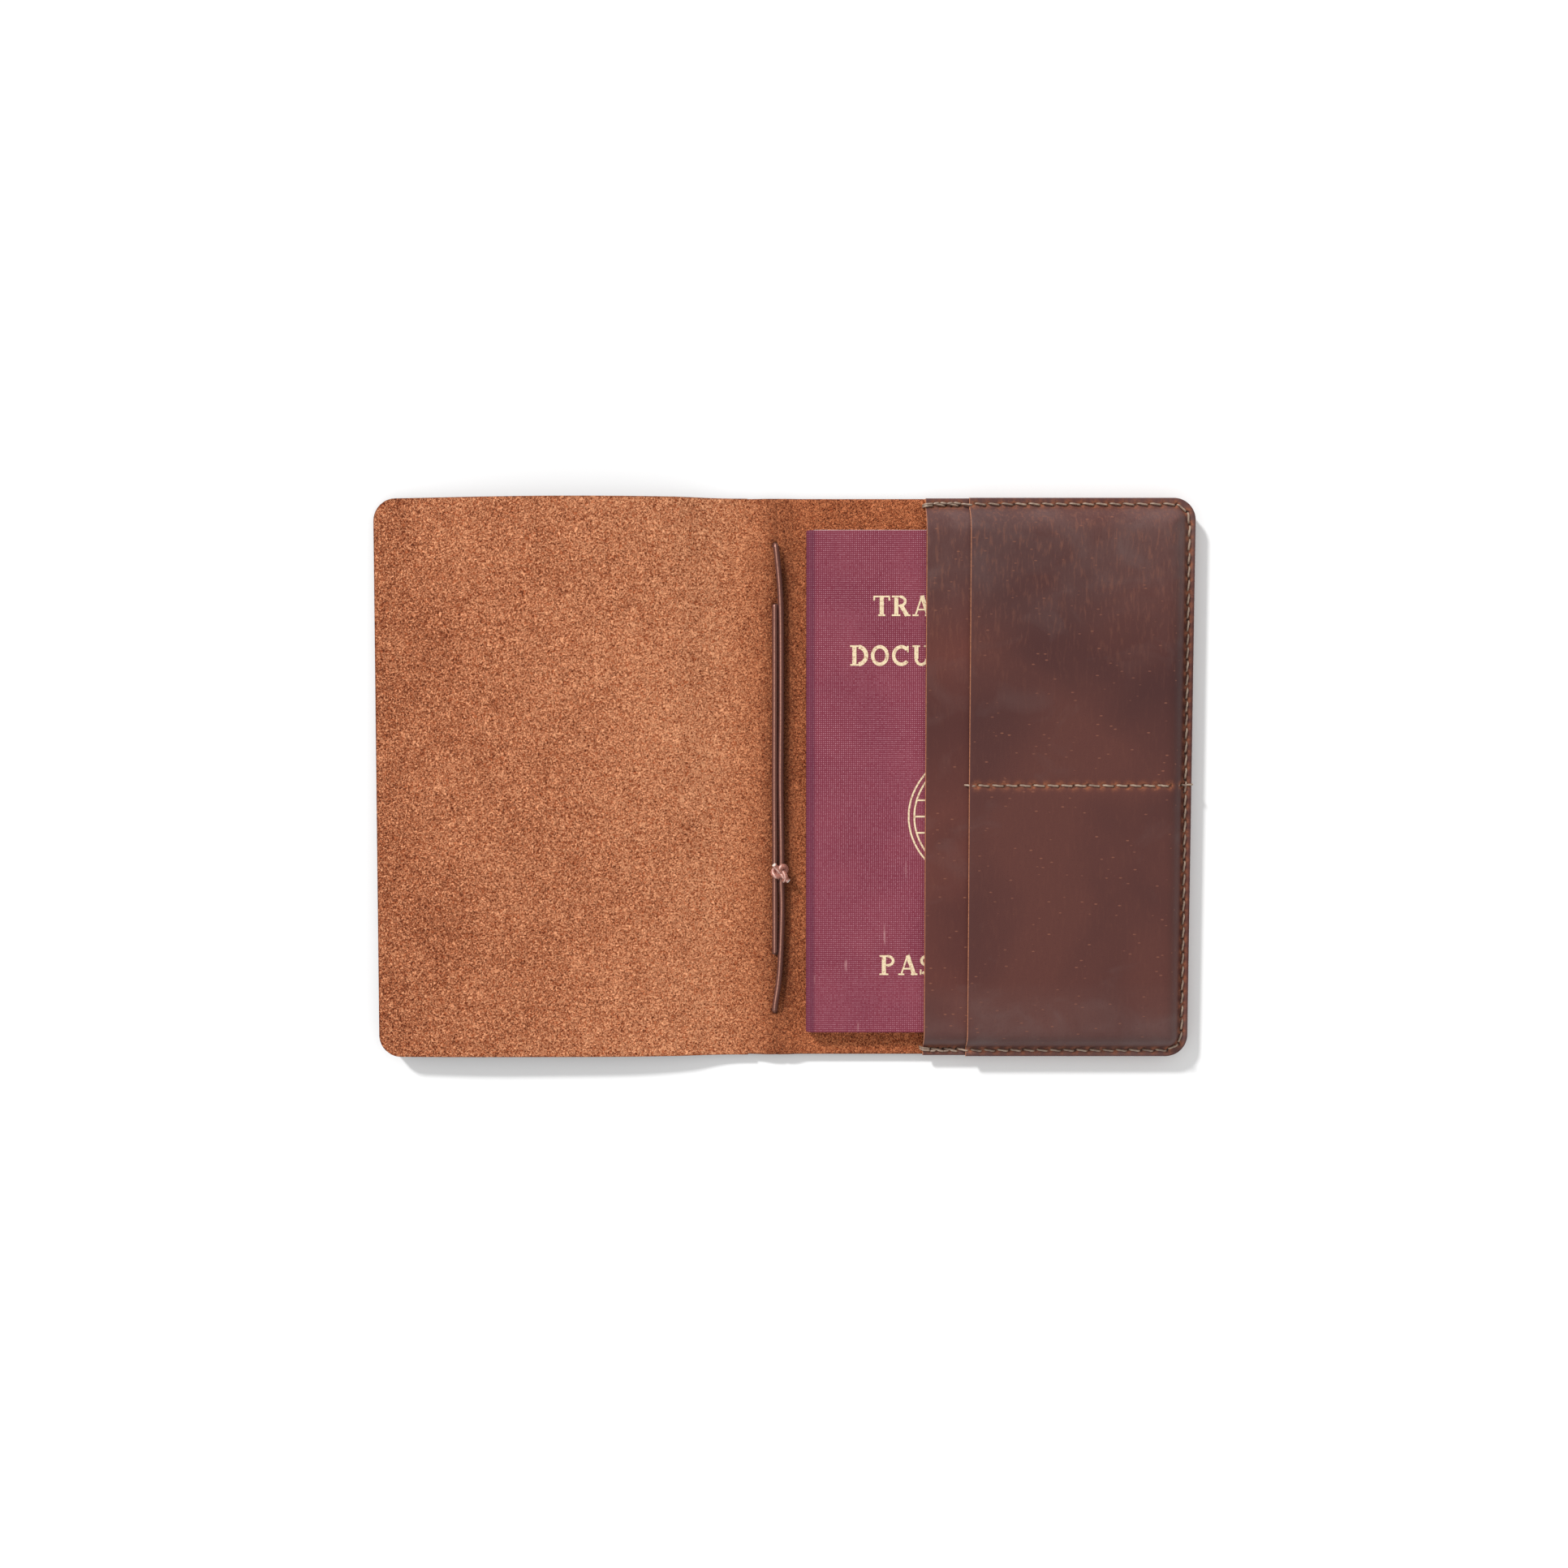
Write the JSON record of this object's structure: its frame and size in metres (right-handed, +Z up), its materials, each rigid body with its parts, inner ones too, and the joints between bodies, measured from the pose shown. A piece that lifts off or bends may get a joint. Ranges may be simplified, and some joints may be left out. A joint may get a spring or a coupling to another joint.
{
  "type": "passport holder",
  "caption": "Leather passport holder that folds at a creased spine, with a sewn passport pocket, a two-slot card pocket over it and an elastic cord along the spine.",
  "frame": {"origin": "bottom centre of the bounding box of the open holder: on its outside face, in the middle of the open cover", "axes": "+X across the two covers, from the front cover to the back cover that carries the pockets; +Y along the spine; +Z up out of the inside face"},
  "size_m": [0.2036, 0.1396, 0.0081],
  "materials": {
    "cover_leather": "suede inside, waxed pull-up grain outside",
    "pocket_leather": "waxed pull-up grain, mottled",
    "thread": "waxed polyester thread",
    "elastic": "woven sheath",
    "core_rubber": "matt",
    "booklet_cloth": "coated woven cloth",
    "booklet_paper": "uncoated paper"
  },
  "bodies": {
    "back": {"back_cover": "cover_leather", "passport_pocket": "pocket_leather", "card_pocket": "pocket_leather", "seam_needle_thread": "thread", "seam_bobbin_thread": "thread", "divider_needle_thread": "thread", "divider_bobbin_thread": "thread"},
    "spine": {"spine_strip": "cover_leather", "elastic_cord": "elastic", "elastic_knot": "elastic", "elastic_cores": "core_rubber"},
    "front": {"front_cover": "cover_leather"},
    "passport": {"passport_cover": "booklet_cloth", "passport_pages": "booklet_paper"}
  },
  "joints": [
    {"name": "spine_fold", "type": "hinge", "parent": "back", "child": "spine", "pos_m": [0.002, 0, 0.0016], "axis": [0, 1, 0], "range_deg": [0, 90]},
    {"name": "front_fold", "type": "hinge", "parent": "spine", "child": "front", "pos_m": [-0.005, 0, 0.0016], "axis": [0, 1, 0], "range_deg": [0, 90]},
    {"name": "passport_slide", "type": "slide", "parent": "back", "child": "passport", "axis": [1, 0, 0], "range_m": [-0.0008, 0.002]}
  ],
  "couplings": [
    {"joint": "front_fold", "follows": "spine_fold", "ratio": 1}
  ]
}
